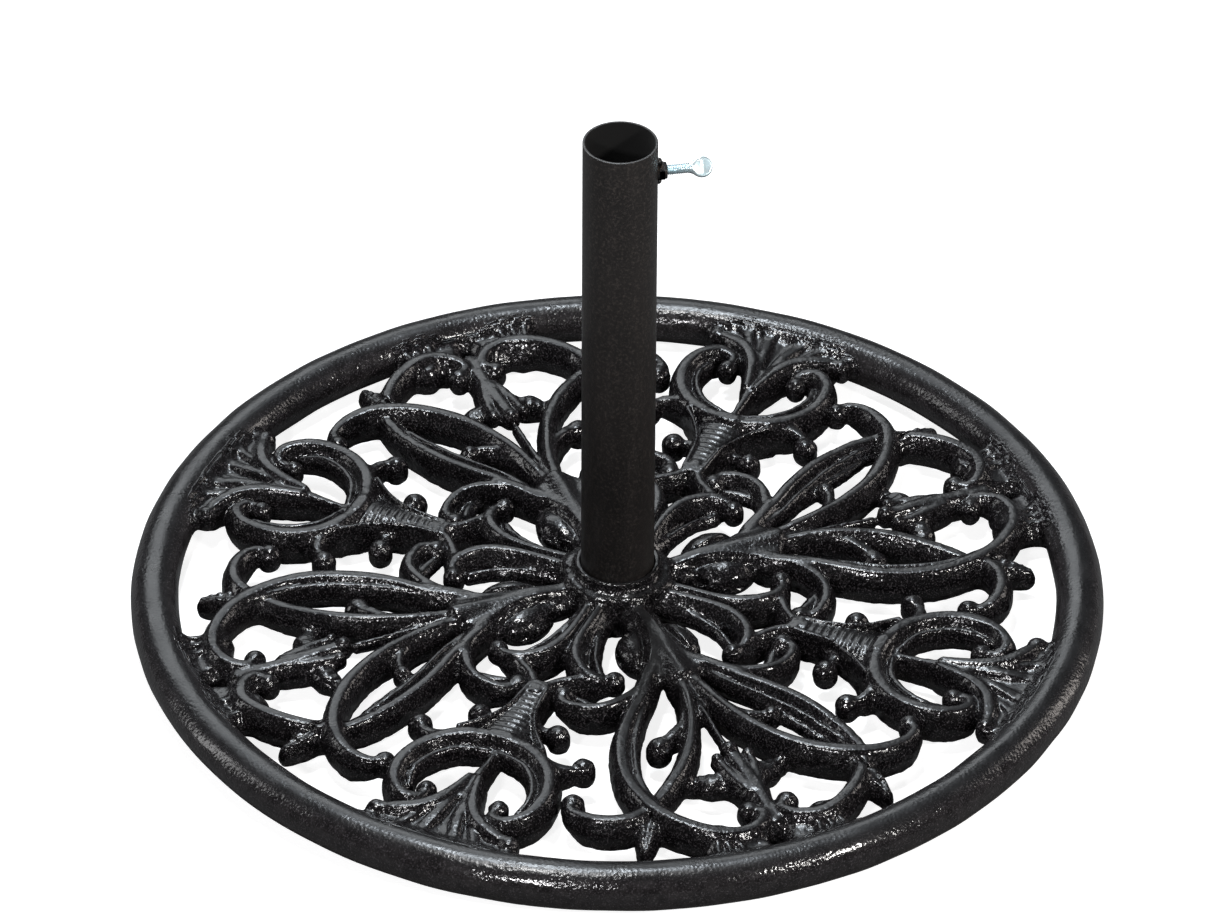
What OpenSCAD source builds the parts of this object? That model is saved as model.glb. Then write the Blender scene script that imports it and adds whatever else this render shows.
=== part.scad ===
// Cast parasol base: a round openwork casting with a bolted steel pole tube and a clamp screw.
// Millimetres, +Z up. The origin is on the ground at the middle of the base.
// The clamp screw points along +X.

/* [Base casting] */
// Outside diameter of the base
base_d = 560; // [520:10:640]
// Width of the round rim
rim_w = 28; // [24:1:32]
// Height of the rim's top above the ground
rim_top = 30; // [28:1:34]
// Height of the rim's flat underside above the ground
rim_clear = 1.5; // [1:0.5:3]
// Height of the scrollwork's top faces
scroll_top = 28.5; // [26:0.5:32]
// Depth of the scrollwork from its top faces
scroll_depth = 24.5; // [16:0.5:25]
// Angle from the clamp screw to the first leaf motif
leaf_angle = 11.8; // [0:0.1:89]
// Scale of the stroke widths
stroke_scale = 1.0; // [0.85:0.05:1.2]

/* [Hub] */
// Radius of the hub where the stems meet
hub_r = 31; // [28:1:36]
// Height of the hub's shoulder
hub_top = 31.5; // [30:0.5:34]
// Radius of the collar that grips the tube
collar_r = 24.5; // [23.5:0.5:27]
// Height of the collar
collar_top = 37; // [35:0.5:42]
// Height of the seat that the tube stands on
seat_z = 29; // [27:0.5:31]

/* [Pole tube] */
// Outside diameter of the tube
tube_d = 42; // [40:0.5:48]
// Wall thickness of the tube
tube_wall = 1.5; // [1.2:0.1:2.5]
// Height of the tube's top above the ground
tube_top = 327.5; // [280:0.5:420]
// Thickness of the threaded plug welded into the tube's foot
plug_t = 12; // [10:1:16]
// Depth of the shoulder that the plug seats on
plug_step = 0.4; // [0.2:0.1:0.8]

/* [Clamp screw] */
// Thread diameter of the clamp screw
screw_d = 6; // [5:0.5:8]
// Length of the shank that shows beyond the nut
screw_reach = 14; // [10:1:20]
// Distance from the tube's top down to the screw
screw_drop = 21.5; // [16:0.5:40]
// Diameter of the round thumb tab
tab_d = 12; // [10:0.5:20]
// Thickness of the thumb tab
tab_t = 3; // [2:0.5:5]
// Angle of the tab's faces about the screw at rest
tab_roll = 38; // [0:1:90]

/* [Fixings] */
// Thread diameter of the bolt under the hub
bolt_d = 10; // [8:1:12]
// Diameter of the rubber feet
foot_d = 10; // [8:1:14]
// Number of rubber feet
foot_count = 4; // [3:1:8]

/* [Hidden] */
$fn = 64;
// the scroll pattern is drawn for a base of 560 mm and scaled to the real one
pattern = base_d / 560;
rim_r = base_d / 2 - rim_w / 2;
rim_mid_z = rim_top - rim_w / 2;
tube_r = tube_d / 2;
bore_r = tube_r - tube_wall;
scroll_z = scroll_top - scroll_depth;
// stack under the hub, from the recess roof down
recess_roof = 15;
recess_r = 17;
flat_washer_t = 2.5;
spring_washer_t = 2.2;
bolt_head_t = 6.4;
bolt_head_af = 17;
bolt_head_top = recess_roof - flat_washer_t - spring_washer_t;
// the bolt ends below the plug's top, so that the pole can stand on the plug
bolt_tip_z = seat_z + plug_t - 1;
thread_gap = 0.05;
hub_floor_z = 3;
// clamp screw
screw_r = screw_d / 2;
screw_z = tube_top - screw_drop;
nut_af = 10;
nut_t = 5;
nut_face_x = tube_r + nut_t;
tip_t = 2;
tip_spigot_r = 1.2;
tip_spigot_l = 3;
tab_x = nut_face_x + screw_reach;
foot_depth = 8;
// the feet sit a little inside the rim's middle, where the rim hides them
foot_ring_r = rim_r - 4;

// ---- helpers -------------------------------------------------------------

// point t of the way from b to c on the smooth curve through a, b, c and d
function smooth_point(a, b, c, d, t) =
    0.5 * (2 * b + (c - a) * t + (2 * a - 5 * b + 4 * c - d) * t * t
           + (3 * b - a - 3 * c + d) * t * t * t);

// smooth path through control points [x, y, width]
function smooth_path(p, steps = 2) = [
    for (i = [0 : len(p) - 2]) for (s = [0 : steps - 1])
        smooth_point(p[max(i - 1, 0)], p[i], p[i + 1], p[min(i + 2, len(p) - 1)], s / steps),
    p[len(p) - 1]];

function heading(q, i) =
    let (a = q[max(i - 1, 0)], b = q[min(i + 1, len(q) - 1)]) atan2(b.y - a.y, b.x - a.x);

function side(q, i, s) =
    let (h = heading(q, i) + 90, w = s * q[i][2] * stroke_scale / 2) [q[i].x + w * cos(h), q[i].y + w * sin(h)];

// flat stroke along control points [x, y, width], with a round ball at its end
module stroke(points, ball = 0) {
    q = smooth_path(points);
    n = len(q);
    polygon([for (i = [0 : n - 1]) side(q, i, 1), for (i = [n - 1 : -1 : 0]) side(q, i, -1)]);
    if (ball > 0)
        translate([q[n - 1].x, q[n - 1].y]) circle(r = ball, $fn = 12);
}

// the same stroke and its mirror image across the motif's axis
module stroke_pair(points, ball = 0) {
    stroke(points, ball);
    mirror([1, 0]) stroke(points, ball);
}

module around(count = 4, start = 0) {
    for (k = [0 : count - 1]) rotate([0, 0, start + k * 360 / count]) children();
}

// ---- scroll pattern, x across the motif and y outward from the centre ------------

// leaf motif: a bulbous calyx with looping leaves that all hook the same way round
module leaf_motif() {
    // calyx
    polygon([[-5, 24], [-8, 50], [-16, 68], [-21, 86], [-15, 100], [0, 106], [15, 100], [21, 86],
             [16, 68], [8, 50], [5, 24]]);
    // left loop: outer strand, inner strand and leaflet
    stroke([[-4, 92, 8], [-7, 112, 6], [-11, 130, 6], [-18, 149, 7], [-28, 167, 8], [-41, 182, 9],
            [-58, 194, 9], [-76, 200, 9], [-93, 198, 8], [-104, 190, 7], [-105, 181, 6]], 5.5);
    stroke([[-15, 88, 9], [-30, 109, 8], [-44, 126, 8], [-56, 144, 8], [-64, 162, 8], [-69, 178, 8],
            [-71, 192, 7]]);
    stroke([[-7, 112, 6], [-14, 132, 6], [-25, 143, 6], [-36, 145, 6]], 4.5);
    // right loop: inner strand, outer strand over the top, and leaflet
    stroke([[2, 96, 8], [4, 118, 6], [10, 138, 6], [18, 156, 7], [29, 172, 8], [44, 187, 8],
            [57, 197, 7]]);
    stroke([[15, 88, 9], [26, 106, 8], [39, 121, 8], [51, 138, 9], [59, 156, 9], [63, 176, 9],
            [61, 195, 9], [56, 210, 9], [47, 223, 9], [34, 234, 9], [20, 238, 8], [8, 234, 8],
            [3, 225, 7], [8, 218, 6]], 5.5);
    stroke([[5, 115, 6], [13, 134, 6], [24, 144, 6], [35, 147, 6]], 4.5);
    // scroll along the rim on the left, hooking towards the axis
    stroke([[-70, 198, 8], [-62, 213, 8], [-51, 226, 9], [-38, 235, 9], [-26, 238, 9], [-14, 233, 8],
            [-9, 224, 7], [-15, 218, 6]], 5.5);
    // spear and the small fleur above it
    stroke([[0, 100, 5], [-1, 130, 5], [-1, 160, 5]]);
    polygon([[-1, 154], [6, 168], [14, 174], [27, 178], [16, 184], [4, 188], [2, 230], [-8, 230],
             [-7, 188], [-17, 184], [-28, 178], [-15, 174], [-7, 168]]);
    // side scrolls that reach for the ring motif's web
    stroke([[13, 84, 8], [26, 100, 7], [40, 107, 7], [53, 108, 7], [64, 102, 7], [69, 93, 7],
            [66, 86, 6]], 6);
    stroke([[-13, 84, 8], [-27, 100, 7], [-41, 107, 7], [-55, 107, 7], [-67, 101, 7], [-73, 92, 7],
            [-69, 85, 6]], 6);
    // scroll on the right shoulder
    stroke([[58, 200, 7], [72, 206, 8], [85, 204, 8], [96, 196, 8], [101, 185, 7], [97, 178, 6]], 6);
    // leaf lugs and the leaves that join the rim
    stroke([[60, 205, 12], [68, 217, 11], [73, 224, 6]]);
    stroke([[-64, 204, 11], [-69, 217, 10], [-71, 228, 5]]);
    stroke([[-32, 233, 18], [-30, 244, 22], [-30, 258, 24]]);
    stroke([[30, 233, 18], [32, 244, 22], [32, 258, 24]]);
}

// ring motif: an open ring on a ribbed web, with a fleur that joins the rim
module ring_motif() {
    ring_r = 43.5;
    // ring and its inward curls, drawn as one half and mirrored
    stroke_pair([[-4, 163, 9], [13, 165, 9], [26, 171, 9], [37, 182, 9], [42.5, 195, 9], [ring_r, 208, 9],
                 [40, 220, 8], [31, 228, 8], [22, 225, 7], [22, 216, 6]], 5);
    // web below the ring
    polygon([[-26, 165], [-13, 150], [-7, 134], [-5, 110], [5, 110], [7, 134], [13, 150], [26, 165]]);
    // small hooks under the ring, and the shorter pair below them
    stroke_pair([[22, 169, 8], [34, 173, 7], [45, 171, 7], [50, 164, 6]], 6);
    stroke_pair([[6, 136, 6], [16, 141, 6], [26, 139, 6]], 6);
    // stem and fleur
    stroke([[0, 160, 4], [0, 180, 5], [0, 200, 8], [0, 218, 13], [0, 230, 26]]);
    stroke_pair([[4, 214, 8], [10, 229, 10], [20, 239, 10], [31, 244, 10], [41, 243, 6]]);
    polygon([[-14, 228], [-24, 240], [-26, 260], [26, 260], [24, 240], [14, 228]]);
    // little arms that close the diamond gap below the web
    stroke_pair([[-1, 114, 7], [7, 104, 7], [15, 97, 7], [22, 93, 6]]);
    // tulip
    stroke_pair([[2, 20, 8], [2, 44, 8], [3, 62, 8], [8, 78, 8], [18, 89, 8], [28, 91, 8], [37, 86, 4]]);
}

module scroll_outline() {
    scale(pattern)
        offset(delta = 0.01) {
            around(4, leaf_angle - 90) leaf_motif();
            around(4, leaf_angle - 45) ring_motif();
        }
}

// ---- pieces ------------------------------------------------------------------------

// cast-iron rim, scrollwork and hub in one casting
module base_casting() {
    color([0.13, 0.13, 0.14])
        difference() {
            union() {
                intersection() {
                    rotate_extrude($fn = 128) translate([rim_r, rim_mid_z]) circle(r = rim_w / 2, $fn = 48);
                    translate([0, 0, rim_clear]) cylinder(r = base_d, h = rim_top + 1);
                }
                translate([0, 0, scroll_z]) linear_extrude(scroll_depth) scroll_outline();
                translate([0, 0, hub_floor_z]) cylinder(r = hub_r, h = hub_top - hub_floor_z);
                translate([0, 0, hub_floor_z]) cylinder(r = collar_r, h = collar_top - hub_floor_z);
            }
            translate([0, 0, seat_z]) cylinder(r = tube_r, h = collar_top);
            translate([0, 0, hub_floor_z - 1]) cylinder(r = recess_r, h = recess_roof - hub_floor_z + 1);
            cylinder(r = bolt_d / 2 + 0.5, h = seat_z + 1);
            around(foot_count, leaf_angle + 45)
                translate([foot_ring_r, 0, 0]) cylinder(r = foot_d / 2 - 1.5, h = rim_clear + foot_depth);
        }
}

// steel tube that holds the parasol pole
module pole_tube() {
    color([0.06, 0.06, 0.07])
        difference() {
            translate([0, 0, seat_z]) cylinder(r = tube_r, h = tube_top - seat_z);
            translate([0, 0, seat_z - 1]) cylinder(r = bore_r, h = tube_top - seat_z + 2);
            translate([0, 0, seat_z - 1]) cylinder(r = bore_r + plug_step, h = plug_t + 1);
            translate([0, 0, screw_z]) rotate([0, 90, 0]) cylinder(r = screw_r + 0.4, h = tube_r + 5);
        }
}

// threaded plug welded into the tube's foot
module tube_end_plug() {
    color([0.45, 0.45, 0.47])
        translate([0, 0, seat_z])
            difference() {
                cylinder(r = bore_r + plug_step, h = plug_t);
                translate([0, 0, -1]) cylinder(r = bolt_d / 2, h = plug_t + 2);
            }
}

// hex nut on the side of the tube, shaped to sit on it
module clamp_nut() {
    color([0.08, 0.08, 0.08])
        difference() {
            translate([tube_r - 1, 0, screw_z]) rotate([0, 90, 0])
                cylinder(d = nut_af / cos(30), h = nut_t + 1, $fn = 6);
            translate([0, 0, screw_z - nut_af]) cylinder(r = tube_r, h = 2 * nut_af);
            translate([0, 0, screw_z]) rotate([0, 90, 0]) cylinder(r = screw_r + thread_gap, h = nut_face_x + 1);
        }
}

// two weld tacks above and below the nut
module nut_welds() {
    tack_r = 2.2;
    color([0.07, 0.07, 0.07])
        difference() {
            for (s = [-1, 1])
                translate([tube_r + 0.6, 0, screw_z + s * (nut_af / cos(30) / 2 + 0.8)]) sphere(r = tack_r, $fn = 32);
            translate([0, 0, screw_z - 2 * nut_af]) cylinder(r = tube_r, h = 4 * nut_af);
            translate([tube_r - 1, 0, screw_z]) rotate([0, 90, 0])
                cylinder(d = nut_af / cos(30), h = nut_t + 1, $fn = 6);
        }
}

// zinc-plated clamp screw with a flat round thumb tab
module thumb_screw() {
    shank_start = bore_r + tip_t;
    color([0.78, 0.80, 0.80])
        translate([0, 0, screw_z])
            difference() {
                union() {
                    translate([shank_start, 0, 0]) rotate([0, 90, 0])
                        cylinder(r = screw_r, h = tab_x - shank_start + 3);
                    translate([tab_x + tab_d / 2, 0, 0]) rotate([90 - tab_roll, 0, 0])
                        translate([0, 0, -tab_t / 2]) cylinder(d = tab_d, h = tab_t);
                }
                translate([shank_start - 1, 0, 0]) rotate([0, 90, 0])
                    cylinder(r = tip_spigot_r + thread_gap, h = tip_spigot_l + 1.2);
            }
}

// nylon tip that presses on the pole, with a spigot in the screw's end
module screw_tip() {
    color([0.85, 0.85, 0.80])
        translate([bore_r, 0, screw_z]) rotate([0, 90, 0]) {
            cylinder(r = screw_r - 0.4, h = tip_t - 0.05);
            cylinder(r = tip_spigot_r, h = tip_t + tip_spigot_l);
        }
}

// bolt that holds the tube to the casting from below
module fixing_bolt() {
    color([0.70, 0.70, 0.68])
        union() {
            translate([0, 0, bolt_head_top - bolt_head_t])
                cylinder(d = bolt_head_af / cos(30), h = bolt_head_t, $fn = 6);
            translate([0, 0, bolt_head_top - 1]) cylinder(r = bolt_d / 2, h = bolt_tip_z - bolt_head_top + 1);
        }
}

// split lock washer
module spring_washer() {
    outer_r = 9;
    color([0.55, 0.55, 0.53])
        translate([0, 0, bolt_head_top])
            difference() {
                cylinder(r = outer_r, h = spring_washer_t);
                translate([0, 0, -1]) cylinder(r = bolt_d / 2 + 0.2, h = spring_washer_t + 2);
                translate([0, -0.6, -1]) cube([outer_r + 1, 1.2, spring_washer_t + 2]);
            }
}

// large flat washer against the recess roof
module flat_washer() {
    color([0.65, 0.65, 0.63])
        translate([0, 0, bolt_head_top + spring_washer_t])
            difference() {
                cylinder(r = recess_r - 2, h = flat_washer_t);
                translate([0, 0, -1]) cylinder(r = bolt_d / 2 + 0.5, h = flat_washer_t + 2);
            }
}

// push-in feet under the rim
module rubber_feet() {
    color([0.05, 0.05, 0.05])
        around(foot_count, leaf_angle + 45)
            translate([foot_ring_r, 0, 0]) {
                cylinder(r1 = foot_d / 2 - 0.8, r2 = foot_d / 2, h = rim_clear);
                cylinder(r = foot_d / 2 - 1.5, h = rim_clear + foot_depth);
            }
}

base_casting();
pole_tube();
tube_end_plug();
clamp_nut();
nut_welds();
thumb_screw();
screw_tip();
fixing_bolt();
spring_washer();
flat_washer();
rubber_feet();
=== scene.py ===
import math

import bmesh
import bpy
import numpy as np
from mathutils import Matrix, Vector


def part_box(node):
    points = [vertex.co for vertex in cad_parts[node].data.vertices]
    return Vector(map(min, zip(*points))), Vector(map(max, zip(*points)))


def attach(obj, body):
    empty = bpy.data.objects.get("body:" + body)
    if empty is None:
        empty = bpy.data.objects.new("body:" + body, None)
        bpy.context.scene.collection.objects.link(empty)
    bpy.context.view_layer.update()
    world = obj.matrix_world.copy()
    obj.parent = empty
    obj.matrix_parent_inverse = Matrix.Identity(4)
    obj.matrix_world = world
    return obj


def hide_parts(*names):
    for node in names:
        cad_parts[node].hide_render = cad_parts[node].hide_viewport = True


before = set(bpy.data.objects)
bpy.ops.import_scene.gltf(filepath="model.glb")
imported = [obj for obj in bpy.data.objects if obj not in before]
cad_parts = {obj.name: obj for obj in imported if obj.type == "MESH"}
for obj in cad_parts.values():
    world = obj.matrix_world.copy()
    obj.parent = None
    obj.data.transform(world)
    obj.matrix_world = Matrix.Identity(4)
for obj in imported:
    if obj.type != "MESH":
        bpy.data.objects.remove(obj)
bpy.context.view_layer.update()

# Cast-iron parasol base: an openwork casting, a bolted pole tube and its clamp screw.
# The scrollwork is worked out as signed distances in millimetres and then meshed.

MM = 0.001


def cad_box(node):
    """Lowest and highest corner of a CAD node, in millimetres."""
    low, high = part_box(node)
    return np.array(low) / MM, np.array(high) / MM


# ---- sizes in millimetres, from the frame where it has them ----

CASTING_LOW, CASTING_HIGH = cad_box("base_casting")
TUBE_LOW, TUBE_HIGH = cad_box("pole_tube")
PLUG_LOW, PLUG_HIGH = cad_box("tube_end_plug")
NUT_LOW, NUT_HIGH = cad_box("clamp_nut")
WELD_LOW, WELD_HIGH = cad_box("nut_welds")
SCREW_LOW, SCREW_HIGH = cad_box("thumb_screw")
TIP_LOW, TIP_HIGH = cad_box("screw_tip")
BOLT_LOW, BOLT_HIGH = cad_box("fixing_bolt")
SPRING_LOW, SPRING_HIGH = cad_box("spring_washer")
WASHER_LOW, WASHER_HIGH = cad_box("flat_washer")
FEET_HIGH = cad_box("rubber_feet")[1]

BASE_R = CASTING_HIGH[0]
PATTERN = BASE_R / 280                 # the scroll pattern is drawn for a base of 560 mm
RIM_W = BASE_R * 0.1                   # thickness of the rim's bar
RIM_R = BASE_R - RIM_W / 2
RIM_BOTTOM = CASTING_LOW[2]
RIM_MID = RIM_W / 2 + 2                # the bar clears the ground on its feet
COLLAR_TOP = CASTING_HIGH[2]
COLLAR_R = 24.5
HUB_R = 31.0
HUB_TOP = COLLAR_TOP - 5.5
HUB_FLOOR = 3.0
RECESS_ROOF = WASHER_HIGH[2]
RECESS_R = 17.0
TUBE_R = TUBE_HIGH[1]
BORE_R = TUBE_R - 1.5
TUBE_TOP = TUBE_HIGH[2]
SEAT = TUBE_LOW[2]
SCREW_Z = (TIP_LOW[2] + TIP_HIGH[2]) / 2
SCREW_R = 3.0
THREAD_PITCH = 1.0
TAB_R = 6.0
TAB_ROLL = 38                          # turn of the thumb tab's faces at rest, degrees
BOLT_R = 5.0
BOLT_PITCH = 1.5
NUT_AF = NUT_HIGH[1] - NUT_LOW[1]
LEAF_ANGLE = 11.8                      # turn of the first leaf motif from the screw, degrees
FOOT_R = 5.0
FOOT_RING_R = (FEET_HIGH[1] - FOOT_R) / math.sin(math.radians(LEAF_ANGLE + 45))
SCROLL_TOP = 28.5
SCROLL_BOTTOM = 4.0
GRID = 1.2      # voxel of the scrollwork
NECK = 20.0                            # length over which a strand slims towards its ball


# ---- smooth noise that repeats exactly on every run ----

def smooth_noise(x, y, z, wavelength, seed, waves=7):
    """Sum of slanted sine waves, about -1 to 1, for coordinates in any one unit."""
    rng = np.random.default_rng(seed)
    total = 0.0
    for _ in range(waves):
        direction = rng.normal(size=3)
        direction /= np.linalg.norm(direction)
        k = 2 * math.pi / (wavelength * rng.uniform(0.7, 1.5))
        phase = rng.uniform(0, 2 * math.pi)
        total = total + np.sin(k * (direction[0] * x + direction[1] * y + direction[2] * z) + phase)
    return total / math.sqrt(waves * 2)


# ---- signed distances ----

def smooth_min(a, b, soft):
    """Union of two distances, with a fillet where they meet."""
    h = np.maximum(soft - np.abs(a - b), 0) / soft
    return np.minimum(a, b) - h * h * soft / 4


def smooth_max(a, b, soft):
    return -smooth_min(-a, -b, soft)


class Field:
    """A solid held as a signed distance on a grid, in millimetres, negative inside."""

    def __init__(self, low, high, step):
        self.low, self.step = np.array(low, float), step
        counts = [int((h - l) / step) + 1 for l, h in zip(low, high)]
        self.x, self.y, self.z = (l + step * np.arange(n, dtype=np.float32) for l, n in zip(low, counts))
        self.d = np.full(counts, 20.0, np.float32)

    def part(self, x0, x1, y0, y1):
        """Index of the columns in a rectangle, with their x and y as a plane."""
        i = slice(*np.searchsorted(self.x, (x0, x1)))
        j = slice(*np.searchsorted(self.y, (y0, y1)))
        return (i, j), self.x[i][:, None], self.y[j][None, :]

    def around(self, points, margin):
        """The same for the rectangle that holds some points, with a margin."""
        low, high = points[:, :2].min(0) - margin, points[:, :2].max(0) + margin
        return self.part(low[0], high[0], low[1], high[1])

    def everywhere(self):
        return self.x[:, None, None], self.y[None, :, None], self.z[None, None, :]

    def join(self, where, distance, soft=2.5):
        self.d[where] = smooth_min(self.d[where], distance, soft)

    def cut(self, where, distance, soft=1.0):
        self.d[where] = smooth_max(self.d[where], -distance, soft)

    def mesh(self, name, spin=0.0):
        """Surface-net mesh of the solid, turned about Z by spin degrees, in metres."""
        points, quads = surface_net(self.d)
        points = self.low + points * self.step
        turn = math.radians(spin)
        c, s = math.cos(turn), math.sin(turn)
        spun = np.column_stack([c * points[:, 0] - s * points[:, 1],
                                s * points[:, 0] + c * points[:, 1], points[:, 2]])
        return new_mesh(name, spun * MM, quads.tolist())


def surface_net(d):
    """One point in each cell that the surface crosses, and one quad across each crossed edge."""
    cells = np.array(d.shape) - 1
    total = np.zeros((int(np.prod(cells)), 3))
    count = np.zeros(int(np.prod(cells)))
    crossings = []
    for axis in range(3):
        low = [slice(None)] * 3
        high = [slice(None)] * 3
        low[axis], high[axis] = slice(None, -1), slice(1, None)
        a, b = d[tuple(low)], d[tuple(high)]
        corner = np.argwhere((a < 0) != (b < 0))
        va, vb = a[tuple(corner.T)], b[tuple(corner.T)]
        place = corner.astype(float)
        place[:, axis] += va / (va - vb)
        u, v = (axis + 1) % 3, (axis + 2) % 3
        around = []
        for du, dv in ((0, 0), (1, 0), (1, 1), (0, 1)):
            cell = corner.copy()
            cell[:, u] -= du
            cell[:, v] -= dv
            around.append(cell)
        inside = np.all([np.all((c >= 0) & (c < cells), axis=1) for c in around], axis=0)
        for cell in around:
            ok = np.all((cell >= 0) & (cell < cells), axis=1)
            flat = np.ravel_multi_index(cell[ok].T, cells)
            count += np.bincount(flat, minlength=len(count))
            for k in range(3):
                total[:, k] += np.bincount(flat, weights=place[ok, k], minlength=len(count))
        flats = np.column_stack([np.ravel_multi_index(c[inside].T, cells) for c in around])
        outward = (va < 0)[inside]
        crossings.append(np.where(outward[:, None], flats, flats[:, ::-1]))
    used = np.flatnonzero(count)
    number = np.full(len(count), -1)
    number[used] = np.arange(len(used))
    return total[used] / count[used][:, None], number[np.vstack(crossings)]


# ---- paths and outlines ----

def smooth_path(points, spacing=1.5):
    """Catmull-Rom curve through the control points; extra columns are carried along."""
    p = np.array(points, float)
    p = np.vstack([p[:1], p, p[-1:]])
    rows = []
    for a, b, c, d in zip(p[:-3], p[1:-2], p[2:-1], p[3:]):
        steps = max(2, int(np.hypot(*(c - b)[:2]) / spacing))
        t = (np.arange(steps) / steps)[:, None]
        rows.append(0.5 * (2 * b + (c - a) * t + (2 * a - 5 * b + 4 * c - d) * t ** 2
                           + (3 * b - a - 3 * c + d) * t ** 3))
    return np.vstack(rows + [p[-1:]])


def on_side(side, points):
    """Control points as given for side 1, mirrored across the motif's middle line for side -1."""
    return [(side * p[0],) + tuple(p[1:]) for p in points]


def beside(points, gap, width, drop):
    """A thin strand that runs beside a stroke and meets it at both ends."""
    path = smooth_path(points, spacing=4)
    ahead = np.gradient(path[:, :2], axis=0)
    ahead /= np.hypot(ahead[:, 0], ahead[:, 1])[:, None]
    t = np.linspace(0, 1, len(path))
    shift = gap * np.sin(math.pi * t) ** 0.45
    strand = path.copy()
    strand[:, 0] += -ahead[:, 1] * shift
    strand[:, 1] += ahead[:, 0] * shift
    strand[:, 2] = width
    strand[:, 3] -= drop
    return strand


def nearest_on_path(path, x, y):
    """Distance from each column to a path, and the path's width, top and length there."""
    best = np.full(np.broadcast(x, y).shape, 1e6)
    width, top, run = np.zeros_like(best), np.zeros_like(best), np.zeros_like(best)
    start = 0.0
    for a, b in zip(path[:-1], path[1:]):
        ex, ey = b[0] - a[0], b[1] - a[1]
        length2 = ex * ex + ey * ey + 1e-9
        t = np.clip(((x - a[0]) * ex + (y - a[1]) * ey) / length2, 0, 1)
        distance = np.hypot(x - a[0] - t * ex, y - a[1] - t * ey)
        closer = distance < best
        best[closer] = distance[closer]
        width[closer] = (a[2] + t * (b[2] - a[2]))[closer]
        top[closer] = (a[3] + t * (b[3] - a[3]))[closer]
        run[closer] = (start + t * math.sqrt(length2))[closer]
        start += math.sqrt(length2)
    return best, width, top, run


def outline_distance(outline, x, y):
    """Signed distance from each column to a closed outline, negative inside."""
    inside = np.zeros(np.broadcast(x, y).shape, bool)
    best = np.full(inside.shape, 1e6)
    for a, b in zip(outline, np.roll(outline, -1, axis=0)):
        ex, ey = b - a
        t = np.clip(((x - a[0]) * ex + (y - a[1]) * ey) / (ex * ex + ey * ey + 1e-9), 0, 1)
        best = np.minimum(best, np.hypot(x - a[0] - t * ex, y - a[1] - t * ey))
        if ey:
            crosses = ((a[1] > y) != (b[1] > y)) & (x < a[0] + (y - a[1]) * ex / ey)
            inside ^= crosses
    return np.where(inside, -best, best)


# ---- cast forms ----

MARGIN = 14.0


def walled(across, z, top, bottom, half, bulge, edge=1.3):
    """Cast section: a flat top of the given half width on walls that swell half way down."""
    down = np.clip((top - z) / (top - bottom), 0, 1)
    side = across - half - bulge * np.sin(math.pi * down)
    return smooth_max(smooth_max(side, z - top, edge), bottom - z, 5.0)


def stroke(field, points, ball=0.0, ball_top=None, bottom=SCROLL_BOTTOM, swell=2.8, rib=0.0, soft=2.5):
    """Strand along control points (x, y, width, top), with a round knob at its end."""
    path = smooth_path(points)
    where, x, y = field.around(path, MARGIN)
    across, width, top, run = nearest_on_path(path, x, y)
    if rib:
        top = top + rib * np.sin(run * 1.25)
    across, width, top = across[..., None], width[..., None], top[..., None]
    z = field.z[None, None, :]
    bulge = width * 0.17 + swell
    if ball:
        neck = np.clip(1 - (run.max() - run) / NECK, 0, 1)[..., None]
        bottom = bottom + 9 * neck
        bulge = bulge * (1 - 0.55 * neck)
    field.join(where, walled(across, z, top, bottom, width * 0.33, bulge), soft)
    if ball:
        end = path[-1]
        knob(field, end[0], end[1], ball, end[3] if ball_top is None else ball_top)


def stroke_pair(field, points, **options):
    stroke(field, points, **options)
    stroke(field, on_side(-1, points), **options)


def knob(field, cx, cy, radius, top, soft=1.2):
    """Ball that ends a scroll, a little taller than it is wide and proud of the strand's top."""
    where, x, y = field.part(cx - MARGIN, cx + MARGIN, cy - MARGIN, cy + MARGIN)
    x, y, z = x[..., None], y[..., None], field.z[None, None, :]
    radius = radius + 0.9
    middle = top + 2.0 - radius
    axis = z - np.clip(z, middle - 3.5, middle)
    field.join(where, np.sqrt((x - cx) ** 2 + (y - cy) ** 2 + axis ** 2) - radius, soft)


def blob(field, centre, radii, soft=3.0, tilt=0.0):
    """Ellipsoid, turned about Z by tilt degrees."""
    reach = max(radii) + MARGIN
    where, x, y = field.part(centre[0] - reach, centre[0] + reach, centre[1] - reach, centre[1] + reach)
    x, y, z = (x - centre[0])[..., None], (y - centre[1])[..., None], field.z[None, None, :] - centre[2]
    c, s = math.cos(math.radians(tilt)), math.sin(math.radians(tilt))
    p = np.stack(np.broadcast_arrays((c * x + s * y) / radii[0], (c * y - s * x) / radii[1], z / radii[2]))
    near = np.sqrt((p ** 2).sum(0)) + 1e-6
    slope = np.sqrt(((p / np.array(radii).reshape(3, 1, 1, 1)) ** 2).sum(0)) + 1e-6
    field.join(where, near * (near - 1) / slope, soft)


def crease(field, points, width=1.2, depth=1.5):
    """Groove cut into whatever top lies under a path of (x, y, width, top)."""
    path = smooth_path(points)
    where, x, y = field.around(path, 5)
    across, _, top, _ = nearest_on_path(path, x, y)
    z = field.z[None, None, :]
    field.cut(where, np.hypot(across[..., None], (z - top[..., None]) * width / depth) - width, 1.2)


def plate(field, outline, top, bottom=SCROLL_BOTTOM, swell=1.5, soft=3.0):
    """Flat-topped form inside a smooth closed outline; top is a number or a function of x and y."""
    closed = np.array(list(outline) + [outline[0]], float)
    edge = smooth_path(closed, spacing=3)[:-1]
    where, x, y = field.around(edge, MARGIN)
    across = outline_distance(edge, x, y)[..., None]
    height = top(x, y) if callable(top) else np.full(across.shape[:2], top)
    solid = walled(across, field.z[None, None, :], height[..., None], bottom, -1.2, swell + 1.2)
    field.join(where, solid, soft)


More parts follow.
